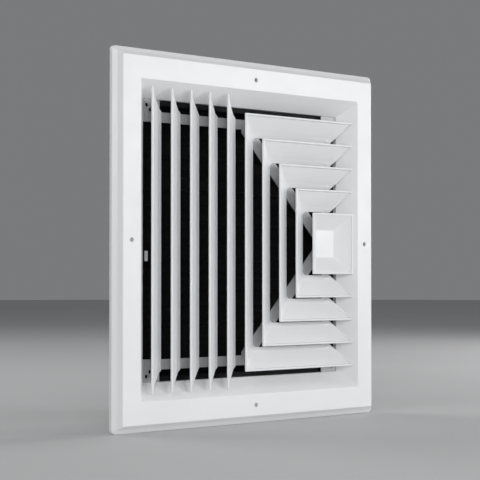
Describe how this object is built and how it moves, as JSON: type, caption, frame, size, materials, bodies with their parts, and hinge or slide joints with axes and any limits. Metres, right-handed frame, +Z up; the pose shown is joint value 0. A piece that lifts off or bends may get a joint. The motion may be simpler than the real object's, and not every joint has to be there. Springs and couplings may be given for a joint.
{
  "type": "ceiling air diffuser",
  "caption": "Square louvred ceiling diffuser: blades throw air three ways from a flanged frame, with a lever-set opposed-blade damper geared behind the face.",
  "frame": {"origin": "where the neck's centre line, which is also the centre line of the four screw holes, crosses the plane of the rim's back edge, which seats on the ceiling", "axes": "+Y back into the ceiling void along the airflow's axis, so the face looks toward -Y; +X toward the side that the bent blades open to; +Z up the face"},
  "size_m": [0.4, 0.0665, 0.4],
  "materials": {
    "white_enamel": "smooth white baked enamel on steel sheet",
    "black_aluminium": "matt black coating on aluminium",
    "black_nylon": "moulded black nylon",
    "zinc_steel": "bright zinc-plated steel"
  },
  "bodies": {
    "diffuser": {"frame_top": "white_enamel", "frame_right": "white_enamel", "frame_bottom": "white_enamel", "frame_left": "white_enamel", "corner_plate_top_right": "zinc_steel", "corner_plate_bottom_right": "zinc_steel", "corner_plate_bottom_left": "zinc_steel", "corner_plate_top_left": "zinc_steel", "side_blade_1": "white_enamel", "side_blade_2": "white_enamel", "side_blade_3": "white_enamel", "side_blade_4": "white_enamel", "side_blade_5": "white_enamel", "bent_blade_1_upright": "white_enamel", "bent_blade_1_upper": "white_enamel", "bent_blade_1_lower": "white_enamel", "bent_blade_2_upright": "white_enamel", "bent_blade_2_upper": "white_enamel", "bent_blade_2_lower": "white_enamel", "bent_blade_3_upright": "white_enamel", "bent_blade_3_upper": "white_enamel", "bent_blade_3_lower": "white_enamel", "bent_blade_4_upright": "white_enamel", "bent_blade_4_upper": "white_enamel", "bent_blade_4_lower": "white_enamel", "centre_pan": "white_enamel", "strap_top": "zinc_steel", "strap_bottom": "zinc_steel", "strap_right": "zinc_steel", "brace_upper": "zinc_steel", "brace_lower": "zinc_steel", "blade_stakes": "zinc_steel", "damper_side_right": "black_aluminium", "damper_side_left": "black_aluminium", "damper_rail_top": "black_aluminium", "damper_rail_bottom": "black_aluminium", "damper_bushes": "black_nylon", "damper_screws": "zinc_steel"},
    "vane_1": {"damper_blade_1": "black_aluminium", "damper_gear_1": "black_nylon"},
    "vane_2": {"damper_blade_2": "black_aluminium", "damper_gear_2": "black_nylon"},
    "vane_3": {"damper_blade_3": "black_aluminium", "damper_gear_3": "black_nylon"},
    "vane_4": {"damper_blade_4": "black_aluminium", "damper_gear_4": "black_nylon", "damper_lever": "white_enamel"},
    "vane_5": {"damper_blade_5": "black_aluminium", "damper_gear_5": "black_nylon"},
    "vane_6": {"damper_blade_6": "black_aluminium", "damper_gear_6": "black_nylon"},
    "vane_7": {"damper_blade_7": "black_aluminium", "damper_gear_7": "black_nylon"},
    "vane_8": {"damper_blade_8": "black_aluminium", "damper_gear_8": "black_nylon"}
  },
  "joints": [
    {"name": "vane_1_turn", "type": "hinge", "parent": "diffuser", "child": "vane_1", "pos_m": [0, 0.0325, -0.12775], "axis": [1, 0, 0], "range_deg": [-90, 0]},
    {"name": "vane_2_turn", "type": "hinge", "parent": "diffuser", "child": "vane_2", "pos_m": [0, 0.0325, -0.09125], "axis": [1, 0, 0], "range_deg": [0, 90]},
    {"name": "vane_3_turn", "type": "hinge", "parent": "diffuser", "child": "vane_3", "pos_m": [0, 0.0325, -0.05475], "axis": [1, 0, 0], "range_deg": [-90, 0]},
    {"name": "vane_4_turn", "type": "hinge", "parent": "diffuser", "child": "vane_4", "pos_m": [0, 0.0325, -0.01825], "axis": [1, 0, 0], "range_deg": [0, 90]},
    {"name": "vane_5_turn", "type": "hinge", "parent": "diffuser", "child": "vane_5", "pos_m": [0, 0.0325, 0.01825], "axis": [1, 0, 0], "range_deg": [-90, 0]},
    {"name": "vane_6_turn", "type": "hinge", "parent": "diffuser", "child": "vane_6", "pos_m": [0, 0.0325, 0.05475], "axis": [1, 0, 0], "range_deg": [0, 90]},
    {"name": "vane_7_turn", "type": "hinge", "parent": "diffuser", "child": "vane_7", "pos_m": [0, 0.0325, 0.09125], "axis": [1, 0, 0], "range_deg": [-90, 0]},
    {"name": "vane_8_turn", "type": "hinge", "parent": "diffuser", "child": "vane_8", "pos_m": [0, 0.0325, 0.12775], "axis": [1, 0, 0], "range_deg": [0, 90]}
  ],
  "couplings": [
    {"joint": "vane_1_turn", "follows": "vane_4_turn", "ratio": -1},
    {"joint": "vane_2_turn", "follows": "vane_4_turn", "ratio": 1},
    {"joint": "vane_3_turn", "follows": "vane_4_turn", "ratio": -1},
    {"joint": "vane_5_turn", "follows": "vane_4_turn", "ratio": -1},
    {"joint": "vane_6_turn", "follows": "vane_4_turn", "ratio": 1},
    {"joint": "vane_7_turn", "follows": "vane_4_turn", "ratio": -1},
    {"joint": "vane_8_turn", "follows": "vane_4_turn", "ratio": 1}
  ]
}
